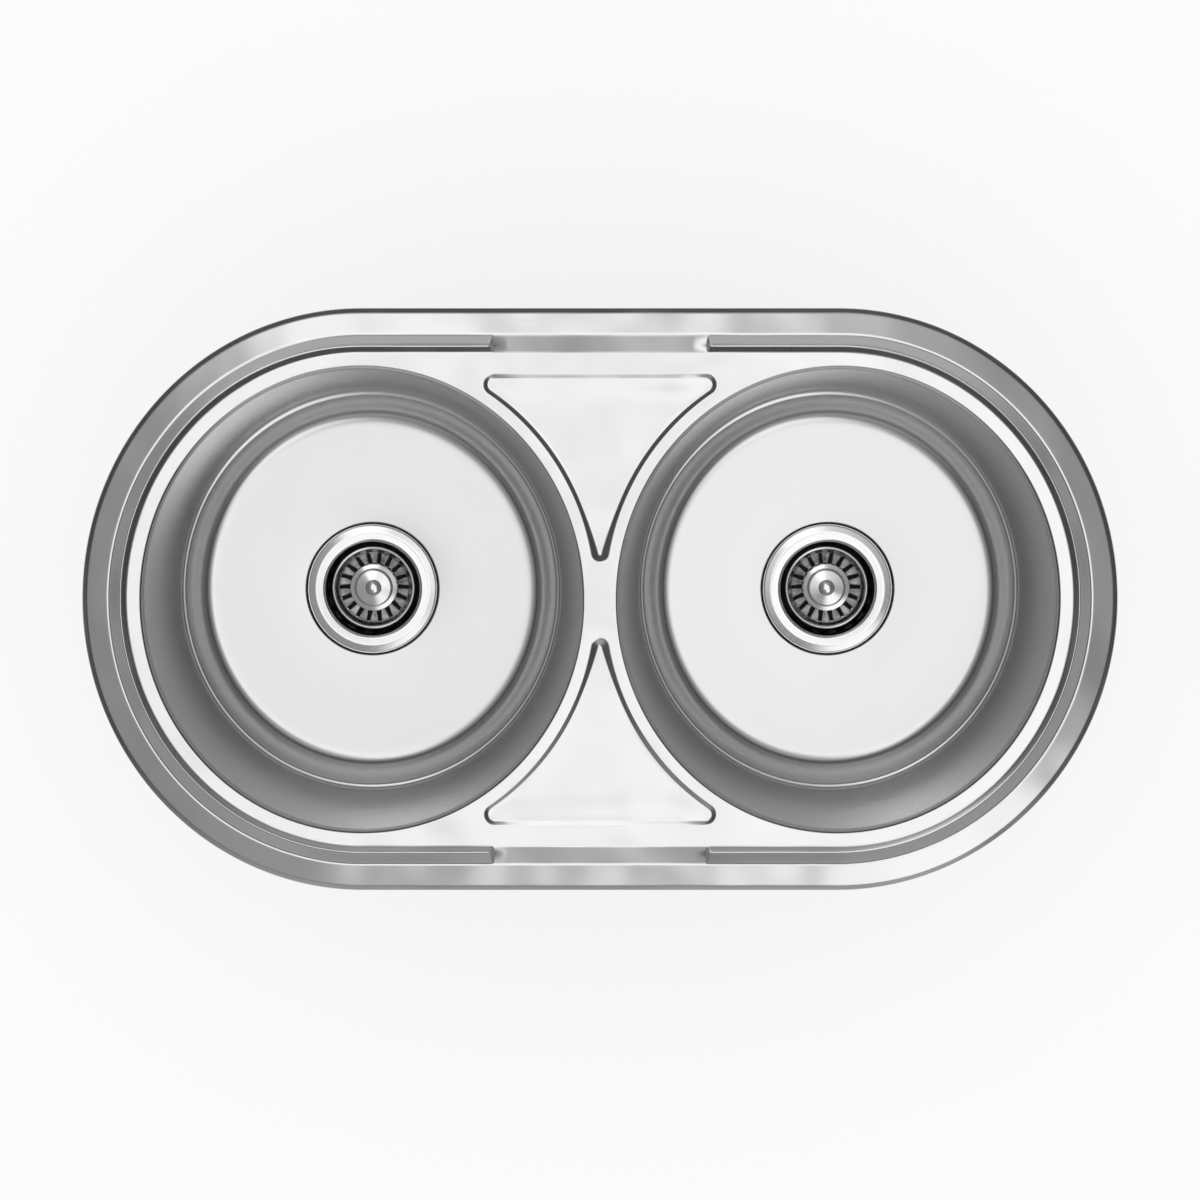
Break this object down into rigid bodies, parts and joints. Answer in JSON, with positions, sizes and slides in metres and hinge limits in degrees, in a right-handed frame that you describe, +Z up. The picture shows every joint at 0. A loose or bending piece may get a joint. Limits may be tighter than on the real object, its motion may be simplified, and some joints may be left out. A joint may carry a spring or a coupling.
{
  "type": "double bowl kitchen sink",
  "caption": "Inset stainless sink with round ends, twin bowls in a pressed deck, basket strainer wastes, rim seal and swing clips under the rim.",
  "frame": {"origin": "midway between the bowls, on the plane of the worktop's upper face, where the rim seal rests", "axes": "+X along the sink's length to the right, +Y to the back, +Z up"},
  "size_m": [0.8792, 0.495, 0.2995],
  "materials": {
    "satin_steel": "satin pressed stainless steel",
    "bowl_steel": "fine brushed stainless steel",
    "polished_steel": "polished stainless steel",
    "zinc_steel": "zinc plated steel",
    "black_rubber": "matt black rubber",
    "seal_foam": "closed-cell foam strip",
    "fibre": "brown vulcanised fibre",
    "white_plastic": "white polypropylene"
  },
  "bodies": {
    "sink": {"sink_deck": "satin_steel", "rim_seal": "seal_foam", "left_bowl": "bowl_steel", "left_sound_pad": "black_rubber", "left_strainer_cup": "polished_steel", "left_flange_gasket": "black_rubber", "left_rubber_washer": "black_rubber", "left_friction_washer": "fibre", "left_locknut": "zinc_steel", "left_tail_washer": "black_rubber", "left_tailpiece": "white_plastic", "left_coupling_nut": "white_plastic", "right_bowl": "bowl_steel", "right_sound_pad": "black_rubber", "right_strainer_cup": "polished_steel", "right_flange_gasket": "black_rubber", "right_rubber_washer": "black_rubber", "right_friction_washer": "fibre", "right_locknut": "zinc_steel", "right_tail_washer": "black_rubber", "right_tailpiece": "white_plastic", "right_coupling_nut": "white_plastic", "clip_1_bracket": "zinc_steel", "clip_2_bracket": "zinc_steel", "clip_3_bracket": "zinc_steel", "clip_4_bracket": "zinc_steel", "clip_5_bracket": "zinc_steel", "clip_6_bracket": "zinc_steel"},
    "left_plug": {"left_stopper": "black_rubber"},
    "left_strainer": {"left_basket": "polished_steel", "left_post": "polished_steel", "left_knob": "polished_steel"},
    "right_plug": {"right_stopper": "black_rubber"},
    "right_strainer": {"right_basket": "polished_steel", "right_post": "polished_steel", "right_knob": "polished_steel"},
    "clip_1_bolt": {"clip_1_screw": "zinc_steel"},
    "clip_1_hook": {"clip_1_jaw": "zinc_steel"},
    "clip_2_bolt": {"clip_2_screw": "zinc_steel"},
    "clip_2_hook": {"clip_2_jaw": "zinc_steel"},
    "clip_3_bolt": {"clip_3_screw": "zinc_steel"},
    "clip_3_hook": {"clip_3_jaw": "zinc_steel"},
    "clip_4_bolt": {"clip_4_screw": "zinc_steel"},
    "clip_4_hook": {"clip_4_jaw": "zinc_steel"},
    "clip_5_bolt": {"clip_5_screw": "zinc_steel"},
    "clip_5_hook": {"clip_5_jaw": "zinc_steel"},
    "clip_6_bolt": {"clip_6_screw": "zinc_steel"},
    "clip_6_hook": {"clip_6_jaw": "zinc_steel"}
  },
  "joints": [
    {"name": "left_strainer_lift", "type": "slide", "parent": "sink", "child": "left_plug", "axis": [0, 0, 1], "range_m": [0, 0.24]},
    {"name": "left_basket_turn", "type": "hinge", "parent": "left_plug", "child": "left_strainer", "pos_m": [-0.2023, 0, -0.2], "axis": [0, 0, 1], "continuous": true},
    {"name": "right_strainer_lift", "type": "slide", "parent": "sink", "child": "right_plug", "axis": [0, 0, 1], "range_m": [0, 0.24]},
    {"name": "right_basket_turn", "type": "hinge", "parent": "right_plug", "child": "right_strainer", "pos_m": [0.2023, 0, -0.2], "axis": [0, 0, 1], "continuous": true},
    {"name": "clip_1_travel", "type": "slide", "parent": "sink", "child": "clip_1_bolt", "axis": [0, 0, -1], "range_m": [0, 0.012]},
    {"name": "clip_1_swing", "type": "hinge", "parent": "clip_1_bolt", "child": "clip_1_hook", "pos_m": [0.4091, 0, -0.034], "axis": [0, 0, 1], "range_deg": [0, 90]},
    {"name": "clip_2_travel", "type": "slide", "parent": "sink", "child": "clip_2_bolt", "axis": [0, 0, -1], "range_m": [0, 0.012]},
    {"name": "clip_2_swing", "type": "hinge", "parent": "clip_2_bolt", "child": "clip_2_hook", "pos_m": [0.2023, 0.217, -0.034], "axis": [0, 0, 1], "range_deg": [0, 90]},
    {"name": "clip_3_travel", "type": "slide", "parent": "sink", "child": "clip_3_bolt", "axis": [0, 0, -1], "range_m": [0, 0.012]},
    {"name": "clip_3_swing", "type": "hinge", "parent": "clip_3_bolt", "child": "clip_3_hook", "pos_m": [-0.2023, 0.217, -0.034], "axis": [0, 0, 1], "range_deg": [0, 90]},
    {"name": "clip_4_travel", "type": "slide", "parent": "sink", "child": "clip_4_bolt", "axis": [0, 0, -1], "range_m": [0, 0.012]},
    {"name": "clip_4_swing", "type": "hinge", "parent": "clip_4_bolt", "child": "clip_4_hook", "pos_m": [-0.4091, 0, -0.034], "axis": [0, 0, 1], "range_deg": [0, 90]},
    {"name": "clip_5_travel", "type": "slide", "parent": "sink", "child": "clip_5_bolt", "axis": [0, 0, -1], "range_m": [0, 0.012]},
    {"name": "clip_5_swing", "type": "hinge", "parent": "clip_5_bolt", "child": "clip_5_hook", "pos_m": [-0.2023, -0.217, -0.034], "axis": [0, 0, 1], "range_deg": [0, 90]},
    {"name": "clip_6_travel", "type": "slide", "parent": "sink", "child": "clip_6_bolt", "axis": [0, 0, -1], "range_m": [0, 0.012]},
    {"name": "clip_6_swing", "type": "hinge", "parent": "clip_6_bolt", "child": "clip_6_hook", "pos_m": [0.2023, -0.217, -0.034], "axis": [0, 0, 1], "range_deg": [0, 90]}
  ]
}
